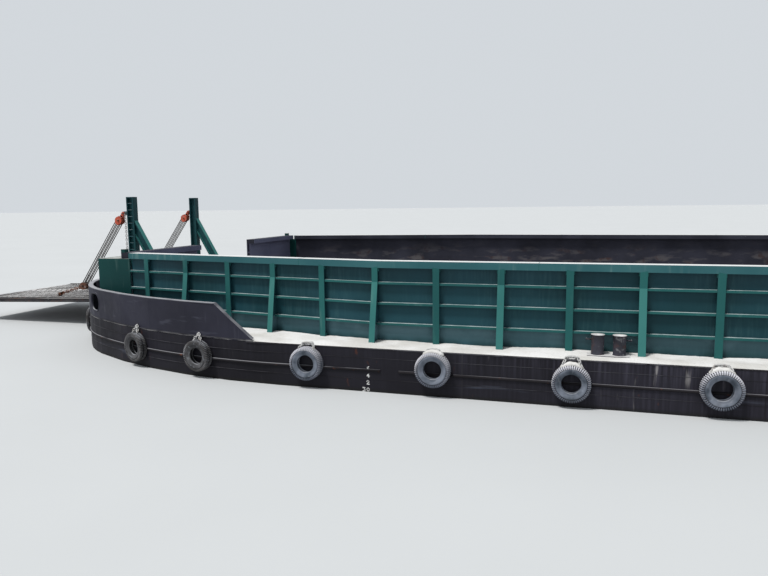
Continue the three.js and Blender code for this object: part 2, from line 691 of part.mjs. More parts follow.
// Double bollard on its base plate, with capped heads and a horn on each post
function bollardPair() {
  const { radius, height, apart, base, cap, horn } = BOLLARD;
  const outline = [
    [0, GAP],
    [radius, GAP],
    [radius, height - 0.04],
    [cap, height],
    [0, height],
  ].map(([r, z]) => new THREE.Vector2(r, z));
  const post = (x) => solid(new THREE.LatheGeometry(outline, 8).rotateX(Math.PI / 2).translate(x, 0, 0));
  const bars = [-1, 1].map((side) => {
    const along = [(side * apart) / 2, side * (apart / 2 + horn)].sort((a, b) => a - b);
    const z = height * 0.75;
    return box(along, [-0.02, 0.02], [z - 0.02, z + 0.02]);
  });
  const reach = apart / 2 + radius + 0.1;
  const plate = box([-reach, reach], [-radius - 0.08, radius + 0.08], [GAP, base]);
  return join([plate, post(-apart / 2), post(apart / 2), ...bars]);
}
for (const { name, x, y, turn } of BOLLARDS) {
  addPair(`bollard_${name}`, bollardPair(), STEEL_GREY, { at: [x, y, DEPTH], turn });
}

export default barge;
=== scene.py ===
import math
import random

import bpy
from mathutils import Matrix, Vector, noise


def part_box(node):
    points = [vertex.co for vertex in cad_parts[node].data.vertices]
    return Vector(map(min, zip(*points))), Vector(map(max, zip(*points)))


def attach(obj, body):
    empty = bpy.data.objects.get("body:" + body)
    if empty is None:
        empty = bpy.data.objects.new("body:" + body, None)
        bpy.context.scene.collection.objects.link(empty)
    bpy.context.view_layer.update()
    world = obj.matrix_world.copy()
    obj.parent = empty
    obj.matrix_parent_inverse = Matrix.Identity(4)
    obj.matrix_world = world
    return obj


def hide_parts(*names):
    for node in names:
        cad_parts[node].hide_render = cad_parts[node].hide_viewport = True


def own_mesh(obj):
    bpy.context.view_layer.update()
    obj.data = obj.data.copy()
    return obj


# A river barge afloat with its bow ramp lowered, as a 1:2 model. Lengths are metres of the model:
# +X is the bow, +Y port and +Z up, with the origin on the keel amidships.
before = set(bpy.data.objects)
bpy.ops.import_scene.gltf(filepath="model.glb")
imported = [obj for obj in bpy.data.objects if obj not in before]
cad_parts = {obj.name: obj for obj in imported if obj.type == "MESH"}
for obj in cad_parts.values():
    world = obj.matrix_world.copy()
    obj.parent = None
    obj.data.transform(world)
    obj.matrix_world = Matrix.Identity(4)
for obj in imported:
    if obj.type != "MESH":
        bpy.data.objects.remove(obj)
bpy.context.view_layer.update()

# Camera at the photograph's viewing angle, and the light
EYE = Vector((7.645, 13.455, 4.114))
HEADING = Vector((0.2947, -0.9556, 0))
PITCH, ROLL = math.radians(7.12), 0.0111
SENSOR_WIDTH, LENS = 36, 30.67
SUN_WAY, SUN_COLOUR = Vector((-0.42, -0.52, -1.4)), (1.0, 0.985, 0.96)
SUN_POWER, SUN_SPREAD = 3.2, math.radians(11)
SKY_COLOUR, SKY_POWER = (0.9, 0.95, 1.0, 1), 0.72
FLOOR_RADIUS = 800.0

# The hull's own measures
WATERLINE = 1.5
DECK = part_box("hull_midbody")[1].z
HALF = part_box("hull_midbody")[1].y
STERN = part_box("hull_stern")[0].x
FLARE_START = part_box("hull_midbody")[1].x
FLARE_RADIUS, FLARE_ANGLE = 8.2, math.pi / 6
CORNER_RADIUS = 3.1
BULWARK_INBOARD = 1.7
BULWARK_FOOT_X, BULWARK_TOP_X = 12.375, 13.05
BULWARK_HEIGHT = 0.545
CHOCK_X, CHOCK_WIDTH, CHOCK_HEIGHT, CHOCK_FOOT = 16.25, 0.525, 0.33, 0.13

# Boards: the rail's outer face is the working line
BAY, SIDE_BAYS, BOW_STANCHIONS = 0.9145, 28, 6
KNUCKLE_X = 10.5685
RAIL_Y = 4.45
BEND = 0.173  # turn of the bow boards inboard
BOARD_HEIGHT = 1.195
FLANGE = 0.095
BOARD_AFT = KNUCKLE_X - SIDE_BAYS * BAY
BOW_BOARD = 5.045
PLATE_DEPTH = 0.075
RAIL_WIDTH, RAIL_DEPTH = 0.21, 0.1
WALL_FACE, WALL_END = 15.735, 3.47  # forward face and outboard end of the front walls' rail

# Ramp, posts and hoist
HINGE = Vector((17.625, 0, 2.085))
DROOP = 0.03
RAMP_LENGTH, RAMP_HALF, RAMP_TOP = 4.0, 1.45, 0.075
POST_X, POST_Y, POST_LENGTH, POST_WIDTH, POST_HEIGHT = 17.215, 1.1975, 0.175, 0.15, 2.245
HOIST_Y = 1.24
HEAD_PIN = Vector((17.4, HOIST_Y, 4.025))
LINK_PIN = HINGE + Matrix.Rotation(DROOP, 3, "Y") @ Vector((1.675, HOIST_Y, 0.14))
HEAD_ANGLE, HEAD = -0.937, 0.195  # the upper tackle's angle, and from its pin to its block's middle
LINK_ANGLE, LINK = 2.86, 0.75  # the lower tackle's
SHEAVE_Y = 0.0295
RUNGS, RUNG_STEP = 14, 0.144
TREAD_STEP = 0.16

# Fenders
BAR_DROP, BAR_RADIUS = 0.32, 0.02
TYRE_RADIUS, TYRE_BEAD, TYRE_WIDTH, TYRE_SEAT = 0.245, 0.125, 0.13, 0.004
TYRE_STEP = 2 * BAY
TYRE_FIRST = KNUCKLE_X + BAY
TYRE_HANG = [(-0.025, 0.26), (-0.065, 0.235), (-0.055, 0.3), (0.03, 0.26)]  # forward of its step, and drop
BOW_TYRES = [(0.172, 0.2775), (0.352, 0.295), (1.11, 0.26)]  # angle on the bow's curve, and drop
FENDER_ENDS = [FLARE_START, 4.75, -2.6, -9.9, -17.1]  # where the groups of side tyres part
BOW_EYE = Vector((0, 0.014, 0.055))  # a bow tyre's eye on the plating, from the deck's edge
BAR_BREAK = (10.09, 10.36)
LUGS, LUG_SHARE = 54, 0.23  # lugs on each shoulder, and half of one as a share of their pitch

# Chains: pitch, radius of the wire and half the width of a link
LEG_CHAIN = (0.038, 0.008, 0.017)
LAID_CHAIN = (0.038, 0.0095, 0.02)
POST_CHAIN = (0.045, 0.0062, 0.0155)
RAMP_CHAIN = (0.064, 0.0105, 0.026)

# Draught marks: places along the hull, height of a number, their step and the foot of the lowest
MARKS_X = (10.56, -15.6)
MARK_TALL, MARK_STEP, MARK_FOOT = 0.05, 0.102, WATERLINE + 0.008

rng = random.Random(7)


def linear(colour):
    """A colour given as it shows on a screen, 0 to 255, as linear light."""
    shares = [c / 255 for c in colour]
    return (*(c / 12.92 if c <= 0.04045 else ((c + 0.055) / 1.055) ** 2.4 for c in shares), 1)


def show(name, data):
    """A new object in the scene."""
    made = bpy.data.objects.new(name, data)
    bpy.context.scene.collection.objects.link(made)
    return made


def make_camera():
    level = HEADING.normalized()
    ahead = level * math.cos(PITCH) - Vector((0, 0, math.sin(PITCH)))
    right = ahead.cross(Vector((0, 0, 1))).normalized()
    up = right.cross(ahead)
    cos, sin = math.cos(ROLL), math.sin(ROLL)
    right, up = right * cos - up * sin, up * cos + right * sin
    data = bpy.data.cameras.new("camera")
    data.sensor_width, data.lens = SENSOR_WIDTH, LENS
    data.clip_start, data.clip_end = 0.1, 3000
    camera = show("camera", data)
    camera.matrix_world = Matrix.Translation(EYE) @ Matrix((right, up, -ahead)).transposed().to_4x4()
    bpy.context.scene.camera = camera


# Materials
class Shade:
    """Builds one material's nodes, coat over coat. Colours are given as they show on a screen."""

    def __init__(self, name, specular, metallic=0.0):
        self.material = bpy.data.materials.new(name)
        self.material.use_nodes = True
        self.tree = self.material.node_tree
        self.surface = self.tree.nodes["Principled BSDF"]
        self.surface.inputs["Metallic"].default_value = metallic
        self.surface.inputs["Specular IOR Level"].default_value = specular
        where = self.tree.nodes.new("ShaderNodeTexCoord")
        self.place = where.outputs["Object"]
        self.x, _, self.z = self.split(self.place)
        self.up = self.split(where.outputs["Normal"])[2]

    def put(self, socket, value):
        """Gives an input a node's output, a colour or a number."""
        if isinstance(value, bpy.types.NodeSocket):
            self.tree.links.new(value, socket)
        else:
            socket.default_value = linear(value) if isinstance(value, tuple) else value

    def split(self, vector):
        node = self.tree.nodes.new("ShaderNodeSeparateXYZ")
        self.put(node.inputs[0], vector)
        return node.outputs

    def combine(self, operation, a, b):
        node = self.tree.nodes.new("ShaderNodeMath")
        node.operation = operation
        self.put(node.inputs[0], a)
        self.put(node.inputs[1], b)
        return node.outputs[0]

    def times(self, *values):
        made = values[0]
        for value in values[1:]:
            made = self.combine("MULTIPLY", made, value)
        return made

    def plus(self, a, b):
        return self.combine("ADD", a, b)

    def most(self, a, b):
        return self.combine("MAXIMUM", a, b)

    def step(self, value, low, high):
        """0 below low, 1 above high and smooth between; the other way round if low is the greater."""
        node = self.tree.nodes.new("ShaderNodeMapRange")
        node.interpolation_type = "SMOOTHSTEP"
        self.put(node.inputs["Value"], value)
        self.put(node.inputs["From Min"], low)
        self.put(node.inputs["From Max"], high)
        return node.outputs[0]

    def noise(self, scale, detail, stretch=(1, 1, 1)):
        grown = self.tree.nodes.new("ShaderNodeVectorMath")
        grown.operation = "MULTIPLY"
        self.put(grown.inputs[0], self.place)
        grown.inputs[1].default_value = stretch
        node = self.tree.nodes.new("ShaderNodeTexNoise")
        self.put(node.inputs["Vector"], grown.outputs[0])
        node.inputs["Scale"].default_value = scale
        node.inputs["Detail"].default_value = detail
        return node.outputs[0]

    def spots(self, scale, detail, low, high, stretch=(1, 1, 1)):
        """Noise drawn out to spots: 0 where it is below low and 1 where it is above high."""
        return self.step(self.noise(scale, detail, stretch), low, high)

    def uneven(self, scale, detail, swing, base):
        """Noise of a given swing on top of a base."""
        return self.plus(self.times(self.noise(scale, detail), swing), base)

    def mix(self, share, a, b):
        node = self.tree.nodes.new("ShaderNodeMix")
        node.data_type = "RGBA"
        self.put(node.inputs[0], share)
        self.put(node.inputs[6], a)
        self.put(node.inputs[7], b)
        return node.outputs[2]

    def base(self, share, a, b):
        """The first coat, somewhere between two colours."""
        self.colour = self.mix(share, a, b)

    def coat(self, colour, *shares):
        """Lays a colour over what is there, as thick as the product of the shares."""
        self.colour = self.mix(self.times(*shares), self.colour, colour)

    def dust(self, colour, cover, flat=0.6):
        """Dust lying on what faces up, thicker in patches."""
        patches = self.spots(5, 6, 0.25, 0.62)
        self.coat(colour, self.step(self.up, flat, 0.95), self.most(patches, cover))

    def finish(self, roughness, bump=None, strength=0.0, depth=0.0):
        self.put(self.surface.inputs["Base Color"], self.colour)
        self.put(self.surface.inputs["Roughness"], roughness)
        if bump is not None:
            node = self.tree.nodes.new("ShaderNodeBump")
            node.inputs["Strength"].default_value = strength
            node.inputs["Distance"].default_value = depth
            self.put(node.inputs["Height"], bump)
            self.put(self.surface.inputs["Normal"], node.outputs[0])
        return self.material


STONE_DUST = (214, 213, 212)
OLD_DUST = (168, 168, 164)
RUST = (92, 52, 36)
MATT = 0.15  # specular level of paint under a film of dust


def hull_paint():
    """Black enamel with runs of stone dust, scuffs and slime at the foot, and a deck white with dust."""
    s = Shade("hull_paint", MATT)
    s.base(s.spots(0.7, 5, 0.3, 0.7), (20, 19, 24), (30, 29, 36))
    upper = s.most(s.step(s.z, DECK - 0.5, DECK - 0.05), 0.4)
    aft = s.plus(s.times(s.step(s.x, 10.5, 6.5), 0.85), 0.15)
    s.coat((58, 56, 68), aft, 0.14)
    s.coat((80, 78, 92), s.spots(26, 5, 0.38, 0.75, (1, 1, 0.05)), upper, aft, 0.38)
    runs = s.times(s.spots(13, 7, 0.6, 0.76, (1, 1, 0.13)), s.spots(0.55, 3, 0.5, 0.64))
    s.coat((172, 168, 166), runs, upper, aft, 0.7)
    belt = s.times(s.step(s.z, DECK - 0.16, DECK - 0.34), s.step(s.z, WATERLINE + 0.04, WATERLINE + 0.14))
    s.coat((104, 112, 130), s.spots(2.1, 9, 0.6, 0.74, (0.3, 0.3, 4)), belt, 0.34)
    s.coat(RUST, s.spots(9, 8, 0.64, 0.74, (1, 1, 0.5)), s.spots(0.7, 2, 0.48, 0.66), 0.7)
    s.coat((24, 24, 20), s.step(s.z, WATERLINE + 0.07, WATERLINE + 0.01), 0.6)
    slime = s.mix(s.spots(4, 8, 0.35, 0.68), (48, 42, 34), (74, 72, 50))
    s.coat(slime, s.step(s.z, WATERLINE + 0.01, WATERLINE - 0.12))
    steel = s.mix(s.spots(2.2, 7, 0.4, 0.62), (112, 106, 100), (92, 70, 56))
    cover = s.most(s.spots(1.1, 8, 0.3, 0.46), s.spots(9, 6, 0.36, 0.54))
    dust = s.mix(s.spots(0.6, 6, 0.42, 0.66), STONE_DUST, (186, 184, 178))
    deck = s.mix(s.times(cover, 0.96), steel, dust)
    s.coat(deck, s.step(s.up, 0.5, 0.8))
    relief = s.uneven(1.1, 2, 2.4, s.times(s.noise(28, 5), 0.12))
    return s.finish(s.uneven(6, 5, 0.3, 0.5), relief, 0.3, 0.02)


def bulwark_paint():
    """Black enamel in better order than the hull's, scuffed along its rim."""
    s = Shade("bulwark_paint", MATT)
    s.base(s.spots(1.0, 5, 0.3, 0.7), (34, 34, 44), (44, 44, 56))
    s.coat((118, 120, 132), s.spots(9, 6, 0.6, 0.76, (1, 1, 0.1)), s.spots(0.8, 3, 0.45, 0.62), 0.3)
    s.coat((104, 106, 120), s.spots(3.2, 9, 0.62, 0.72, (0.5, 0.5, 2.6)), 0.16)
    top = DECK + BULWARK_HEIGHT
    s.coat((160, 160, 166), s.step(s.z, top - 0.012, top - 0.002), s.noise(6, 5))
    s.coat((150, 148, 146), s.step(s.z, DECK + 0.03, DECK + 0.003), s.spots(4, 6, 0.36, 0.6), 0.7)
    s.dust((146, 146, 150), 0.5)
    return s.finish(s.uneven(7, 5, 0.3, 0.45), s.noise(1.4, 3), 0.2, 0.02)


def seam_steel(name, share):
    """Weld beads and edge bars: hull black, pale in broken stretches."""
    s = Shade(name, MATT)
    s.base(s.noise(3, 5), (20, 19, 24), (38, 35, 38))
    s.coat((88, 88, 94), s.spots(0.5, 3, 0.3, 0.6), s.spots(5, 4, 0.25, 0.6), share)
    return s.finish(0.75, s.noise(40, 4), 0.25, 0.003)


def green_paint(name, light, dark, dust=0.62, runs=0.16, settled=OLD_DUST):
    """Green enamel with dust on its ledges, a few pale runs and rusty chips."""
    s = Shade(name, MATT)
    s.base(s.spots(0.9, 5, 0.3, 0.7), dark, light)
    s.coat((140, 166, 160), s.spots(11, 5, 0.55, 0.78, (1, 1, 0.12)), s.spots(0.7, 2, 0.4, 0.62), runs)
    s.coat(RUST, s.spots(15, 8, 0.68, 0.75), s.spots(0.8, 3, 0.46, 0.62), 0.25)
    s.dust(settled, dust)
    return s.finish(s.uneven(8, 4, 0.25, 0.42), s.noise(30, 5), 0.1, 0.004)


def plate_paint():
    """The outboard plating: dark teal with a fine grain of runs. Its lowest strip is paler blue-grey,
    brightest under the bottom stringer and fading to the deck, partly dust splashed up from the walkway and
    partly painted light, and the plating turns darker towards the deck.
    """
    s = Shade("plate_paint", MATT)
    s.base(s.spots(0.8, 4, 0.3, 0.7), (20, 54, 60), (29, 66, 75))
    grain = s.spots(24, 6, 0.4, 0.75, (1, 1, 0.09))
    high = s.times(s.step(s.z, DECK + 0.7, DECK + 1.08), s.spots(0.6, 3, 0.35, 0.6), 0.4)
    s.coat((44, 62, 74), s.most(grain, 0.55), high)
    s.coat((72, 104, 106), grain, s.spots(1.1, 4, 0.36, 0.62), 0.2)
    # Lowest strip: paler blue-grey fading down to the deck, partly dust and partly painted light.
    low = s.times(s.step(s.z, DECK + 0.29, DECK + 0.27), s.step(s.z, DECK - 0.04, DECK + 0.2))
    s.coat((84, 112, 120), low, s.most(s.spots(1.6, 5, 0.3, 0.62), 0.6), 0.8)
    # Darker towards the deck.
    s.coat((14, 42, 42), s.step(s.z, DECK + 0.14, DECK), s.spots(3, 5, 0.3, 0.6), 0.6)
    s.coat(RUST, s.spots(20, 7, 0.71, 0.77), s.spots(0.9, 2, 0.5, 0.64), 0.6)
    relief = s.uneven(0.9, 1, 1.6, s.times(s.noise(24, 5), 0.08))
    return s.finish(s.plus(s.times(grain, 0.2), 0.5), relief, 0.25, 0.02)


def scoured_plate(name, dark, light, steel=0.55, settled=OLD_DUST):
    """Black plating that the load rubs on: scraped to bare steel, with rust and dust low down."""
    s = Shade(name, MATT)
    s.base(s.spots(1.1, 5, 0.3, 0.7), dark, light)
    scrapes = s.times(s.spots(3.6, 9, 0.5, 0.66, (0.5, 0.5, 1.6)), s.step(s.z, DECK + 1.1, DECK + 0.3))
    bare = s.mix(s.spots(6, 8, 0.5, 0.68), (108, 104, 104), (84, 58, 46))
    s.coat(bare, scrapes, steel)
    s.coat(STONE_DUST, s.step(s.z, DECK + 0.5, DECK), s.spots(2.5, 7, 0.35, 0.65), 0.7)
    s.dust(settled, 0.6)
    return s.finish(0.75, s.noise(20, 7), 0.25, 0.008)


def old_rubber(name, dark, light, dust=(140, 142, 148), cover=0.3, flat=0.45, bleached=0.0):
    """Stained rubber, muddy near the water. bleached is how pale it turns towards the deck."""
    s = Shade(name, 0.25)
    s.base(s.spots(6, 6, 0.3, 0.7), dark, light)
    s.coat((50, 49, 52), s.spots(3, 7, 0.52, 0.68), 0.5)
    s.coat((132, 136, 142), s.spots(18, 6, 0.56, 0.7), 0.4)
    s.coat((214, 213, 220), s.step(s.z, DECK - 0.26, DECK - 0.06), bleached)
    s.coat((48, 50, 44), s.step(s.z, WATERLINE + 0.2, WATERLINE + 0.02), 0.6)
    s.dust(dust, cover, flat)
    return s.finish(0.85, s.noise(45, 6), 0.35, 0.004)


def bar_steel():
    """The rub bar: black, with a pale line along its upward-facing top."""
    s = Shade("bar_steel", MATT)
    s.base(s.noise(3, 5), (22, 21, 25), (40, 37, 40))
    s.coat(RUST, s.spots(9, 7, 0.62, 0.74))
    s.coat((122, 122, 126), s.step(s.up, 0.6, 0.8), s.spots(3, 5, 0.3, 0.5, (0.5, 0.5, 1)), 0.9)
    return s.finish(0.72, s.noise(30, 5), 0.2, 0.004)


def deck_steel(name, dark, light, rust, dust):
    """Steel fittings: blotched, scuffed and rusty, under some dust."""
    s = Shade(name, 0.3)
    s.base(s.spots(5, 6, 0.3, 0.7), dark, light)
    s.coat(RUST, s.spots(8, 8, 0.54, 0.7), rust)
    s.coat((150, 150, 152), s.spots(14, 9, 0.6, 0.7), 0.35)
    s.dust(STONE_DUST, dust)
    return s.finish(s.uneven(9, 4, 0.3, 0.5), s.noise(32, 6), 0.25, 0.005)


def worn_deck():
    """Deck and ramp plating polished by loads: scraped steel, rust bloom and drifts of stone dust."""
    s = Shade("deck_plating", 0.3)
    s.base(s.spots(1.3, 7, 0.35, 0.65), (62, 60, 62), (98, 94, 92))
    s.coat((104, 70, 50), s.spots(3.2, 9, 0.5, 0.68), 0.7)
    s.coat((146, 144, 142), s.spots(5, 6, 0.56, 0.68, (0.12, 2.4, 1)), 0.6)
    drift = s.times(s.spots(0.55, 7, 0.44, 0.6), s.spots(11, 6, 0.3, 0.5), 0.85)
    s.coat(STONE_DUST, drift, s.step(s.up, 0.5, 0.9))
    return s.finish(s.uneven(5, 5, 0.35, 0.4), s.noise(16, 7), 0.3, 0.006)


def lying_dust():
    s = Shade("lying_dust", 0.1)
    s.base(s.spots(1.6, 8, 0.38, 0.66), STONE_DUST, (192, 190, 186))
    s.coat((146, 144, 138), s.spots(42, 6, 0.56, 0.68), 0.3)
    return s.finish(0.95, s.noise(30, 8), 0.7, 0.012)


def chain_steel():
    s = Shade("chain_steel", 0.4, metallic=0.3)
    s.base(s.noise(24, 5), (150, 150, 152), (196, 195, 192))
    s.coat((104, 86, 74), s.spots(12, 6, 0.54, 0.68), 0.5)
    return s.finish(0.6, s.noise(80, 4), 0.3, 0.002)


def wire_rope():
    s = Shade("wire_rope", 0.2)
    s.base(s.noise(20, 5), (24, 21, 22), (52, 43, 38))
    return s.finish(0.65, s.noise(90, 3), 0.3, 0.001)


def white_marks():
    s = Shade("white_marks", 0.5)
    s.base(s.spots(16, 6, 0.55, 0.75), (222, 222, 220), (140, 139, 140))
    return s.finish(0.7, s.noise(40, 4), 0.1, 0.001)


MATERIALS = {
    "hull": hull_paint(),
    "bulwark": bulwark_paint(),
    "seam": seam_steel("seam_steel", 0.5),
    "edge": seam_steel("edge_steel", 0.6),
    "plate": plate_paint(),
    "frame": green_paint("frame_paint", (36, 92, 90), (28, 78, 78), settled=(158, 170, 172)),
    # Slanted frames: a lighter copy of the frame green, painted sunlight on faces tilted up; the dust on
    # them is real.
    "sunlit_slant": green_paint("sunlit_slant_paint", (56, 114, 110), (44, 100, 98)),
    "rail": green_paint("rail_paint", (54, 98, 102), (40, 84, 90), 0.95, 0.3, (204, 204, 204)),
    "locker": green_paint("locker_paint", (16, 62, 60), (10, 52, 52)),
    "post": green_paint("post_paint", (24, 64, 68), (18, 52, 58), 0.3),
    # The brace's top face: a much lighter copy of the post green, painted sunlight.
    "sunlit_brace": green_paint("sunlit_brace_paint", (60, 124, 118), (46, 106, 103), 0.2),
    "rung": green_paint("rung_paint", (30, 72, 80), (24, 60, 68), 0.06),
    "inside": scoured_plate("scoured_plate", (34, 35, 44), (50, 51, 62)),
    "black": scoured_plate("black_plate", (50, 52, 68), (62, 64, 80), 0.25, (92, 92, 98)),
    # The front walls' aft face: a lighter copy of the black plate, painted light on a face turned from the
    # sun.
    "lit_wall_face": scoured_plate("lit_wall_face", (72, 75, 96), (86, 89, 110), 0.3, (92, 92, 98)),
    "wall_rail": scoured_plate("wall_rail", (28, 29, 38), (40, 41, 50), 0.1, (66, 66, 74)),
    "rubber": old_rubber("old_rubber", (62, 69, 78), (120, 126, 138)),
    # The crown between the lugs: darker rubber, painted shade in the gaps of the tread.
    "groove": old_rubber("tread_groove_shade", (22, 22, 27), (34, 34, 40)),
    "tread": old_rubber("tread_rubber", (80, 86, 98), (112, 117, 130), (206, 204, 208), 0.6, 0.4, 0.75),
    "bow_rubber": old_rubber("bow_rubber", (48, 48, 50), (86, 86, 88)),
    "bow_tread": old_rubber("bow_tread", (70, 68, 68), (104, 102, 102)),
    "bar": bar_steel(),
    "bollard": deck_steel("bollard_steel", (36, 36, 44), (56, 56, 66), 0.3, 0.7),
    "deck": worn_deck(),
    "ramp": deck_steel("ramp_steel", (32, 31, 36), (56, 53, 54), 0.5, 0.55),
    "orange": deck_steel("orange_paint", (156, 66, 48), (184, 84, 60), 0.5, 0.1),
    "rusty": deck_steel("rusty_steel", (82, 50, 36), (112, 70, 48), 0.8, 0.1),
    "dust": lying_dust(),
    "chain": chain_steel(),
    "wire": wire_rope(),
    "marks": white_marks(),
}


# Forms
class Form:
    """Points and faces of a piece, gathered from simple shapes. finish is the material of what follows."""

    def __init__(self):
        self.points, self.faces, self.smooth, self.finishes = [], [], [], []
        self.finish = 0

    def face(self, corners, smooth=False):
        self.faces.append(tuple(corners))
        self.smooth.append(smooth)
        self.finishes.append(self.finish)

    def skin(self, rows, around=False, closed=False, smooth=True):
        """Quads over rows of points. around joins each row's ends, closed the last row to the first."""
        start, wide, tall = len(self.points), len(rows[0]), len(rows)
        self.points += [tuple(p) for row in rows for p in row]
        for i in range(tall if closed else tall - 1):
            for j in range(wide if around else wide - 1):
                a, b = start + i * wide, start + (i + 1) % tall * wide
                k = (j + 1) % wide
                self.face((a + j, a + k, b + k, b + j), smooth)
        if around and not closed:
            self.face(range(start + wide - 1, start - 1, -1))
            self.face(range(start + (tall - 1) * wide, start + tall * wide))

    def box(self, low, high):
        (x0, y0, z0), (x1, y1, z1) = low, high
        foot = [(x0, y0, z0), (x1, y0, z0), (x1, y1, z0), (x0, y1, z0)]
        head = [(x, y, z1) for x, y, _ in foot]
        self.skin([foot, head], around=True, smooth=False)

    def prism(self, outline, depth, place=Matrix()):
        """An outline in the place's own XY plane, drawn out along its Z."""
        rows = [[place @ Vector((x, y, z)) for x, y in outline] for z in (0, depth)]
        self.skin(rows, around=True, smooth=False)

    def lathe(self, profile, steps, place=Matrix(), closed=False, smooth=True):
        """A profile of (radius, height) turned round the place's own Z."""
        rows = []
        for i in range(steps):
            turn = place @ turned(math.tau * i / steps, "Z")
            rows.append([turn @ Vector((r, 0, z)) for r, z in profile])
        self.skin(rows, around=closed, closed=True, smooth=smooth)

    def tube(self, path, radius, sides=8, loop=False):
        """A round bar along a path."""
        path = [Vector(p) for p in path]
        ahead = [(path[(i + 1) % len(path)] - path[i - 1]).normalized() for i in range(len(path))]
        if not loop:
            ahead[0], ahead[-1] = (path[1] - path[0]).normalized(), (path[-1] - path[-2]).normalized()
        side = ahead[0].orthogonal().normalized()
        rows = []
        for point, way in zip(path, ahead):
            side = (side - way * side.dot(way)).normalized()
            cross = way.cross(side)
            turns = [math.tau * k / sides for k in range(sides)]
            rows.append([point + (side * math.cos(a) + cross * math.sin(a)) * radius for a in turns])
        self.skin(rows, around=True, closed=loop)

    def add(self, other, place=Matrix(), mirror=False):
        start = len(self.points)
        for p in other.points:
            q = place @ Vector(p)
            self.points.append((q.x, -q.y if mirror else q.y, q.z))
        for corners, smooth, finish in zip(other.faces, other.smooth, other.finishes):
            corners = [start + c for c in (reversed(corners) if mirror else corners)]
            self.faces.append(tuple(corners))
            self.smooth.append(smooth)
            self.finishes.append(finish)
        return self

    def mirrored(self):
        return Form().add(self, mirror=True)


def piece(name, form, looks, body="hull", replaces=()):
    mesh = bpy.data.meshes.new(name)
    mesh.from_pydata(form.points, [], form.faces)
    for look in looks:
        mesh.materials.append(MATERIALS[look])
    mesh.polygons.foreach_set("use_smooth", form.smooth)
    mesh.polygons.foreach_set("material_index", form.finishes)
    mesh.update()
    made = show(name, mesh)
    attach(made, body)
    if replaces:
        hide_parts(*replaces)
    return made


def pair(name, form, looks, body="hull", replaces=()):
    """A piece to port and its mirror image to starboard. A tackle's body has one for each side."""
    made = []
    for side, shape in (("port", form), ("starboard", form.mirrored())):
        rides = body if body == "hull" else f"{body}_{side}"
        nodes = [f"{node}_{side}" for node in replaces]
        made.append(piece(f"{name}_{side}", shape, looks, rides, nodes))
    return made


def arc(a, b, radius, start, end, steps):
    angles = [start + (end - start) * i / steps for i in range(steps + 1)]
    return [(a + radius * math.cos(t), b + radius * math.sin(t)) for t in angles]


def symmetrical(half):
    """A turned profile of (radius, height) from one half of it, which starts at its end."""
    return [(r, -y) for r, y in half] + [(r, y) for r, y in reversed(half)]


def at(x, y, z):
    return Matrix.Translation((x, y, z))


def turned(angle, axis):
    return Matrix.Rotation(angle, 4, axis)


def facing(origin, z, x):
    """A place at an origin whose Z and X axes are given."""
    return Matrix.Translation(origin) @ Matrix((x, z.cross(x), z)).transposed().to_4x4()


def along(start, end):
    """A place at start whose Z points to end."""
    z = (end - start).normalized()
    return facing(start, z, z.orthogonal().normalized())


def upright(pin, angle):
    """A place at a pin whose Z points along an angle in the vertical plane, with Y across the tackle."""
    z = Vector((math.cos(angle), 0, math.sin(angle)))
    return facing(pin, z, Vector((0, 1, 0)).cross(z))


ACROSS = turned(-math.pi / 2, "X")  # turns a lathe's axis to Y


# The bow's curve in plan, port side: its angle is 0 abeam
FLARE_CENTRE = Vector((FLARE_START, HALF - FLARE_RADIUS))
FLARE_END = Vector((math.sin(FLARE_ANGLE), math.cos(FLARE_ANGLE)))
CORNER_CENTRE = FLARE_CENTRE + (FLARE_RADIUS - CORNER_RADIUS) * FLARE_END


def bow_point(angle, out=0.0):
    on_flare = angle <= FLARE_ANGLE
    centre, radius = (FLARE_CENTRE, FLARE_RADIUS) if on_flare else (CORNER_CENTRE, CORNER_RADIUS)
    return centre + (radius + out) * Vector((math.sin(angle), math.cos(angle)))


BOW_END = math.acos((BULWARK_INBOARD - CORNER_CENTRE.y) / CORNER_RADIUS)


def bow_line(out, start=0.0):
    """Points in plan along the bow curve to its inboard end, standing out from the plating."""
    return [bow_point(start + (BOW_END - start) * i / 40, out) for i in range(41)]


def side_line(out, aft=STERN):
    return [Vector((aft, HALF + out)), *bow_line(out)]


def flat_bar(form, inner, outer, z0, z1, bevel):
    """A flat bar on edge between a line in plan and the same line further out, where it is bevelled."""
    rows = []
    for a, b in zip(inner, outer):
        rows.append([(a.x, a.y, z0), (b.x, b.y, z0 + bevel), (b.x, b.y, z1 - bevel), (a.x, a.y, z1)])
    form.skin(rows, around=True, smooth=False)


# Finishes of the CAD nodes that stay
def dress(node, looks):
    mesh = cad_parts[node].data
    mesh.materials.clear()
    for look in looks:
        mesh.materials.append(MATERIALS[look])
    return mesh


GREEN_BOARD = ("frame", "plate", "inside", "rail", "sunlit_slant")
# On the front walls the inner face takes a lighter copy of the black, painted light.
DARK_BOARD = ("black", "black", "lit_wall_face", "wall_rail", "black")


def dress_board(node, outward, looks=GREEN_BOARD):
    """Gives a board's frames, outer plating, inner face, rail and slanted frames their own finishes. The
    slanted frames' lighter green and the front walls' lighter inner face are painted sunlight.
    """
    mesh = dress(node, looks)
    top = DECK + BOARD_HEIGHT
    rail_foot = top - RAIL_DEPTH - 0.001
    rail = max(v.co.xy.dot(outward) for v in mesh.vertices if v.co.z > top - 0.02)
    for face in mesh.polygons:
        depth = rail - face.center.xy.dot(outward)
        across = face.normal.xy.dot(outward)
        if across < -0.9 and depth > PLATE_DEPTH:
            face.material_index = 2
        elif face.center.z > rail_foot:
            face.material_index = 3
        # Outward faces tilted up, the slanted frames, take the lighter green of painted sunlight.
        elif across > 0.9 and face.normal.z > 0.1:
            face.material_index = 4
        elif depth > PLATE_DEPTH - 0.01 or (abs(across) < 0.1 and abs(face.normal.z) < 0.1):
            face.material_index = 1
        else:
            face.material_index = 0


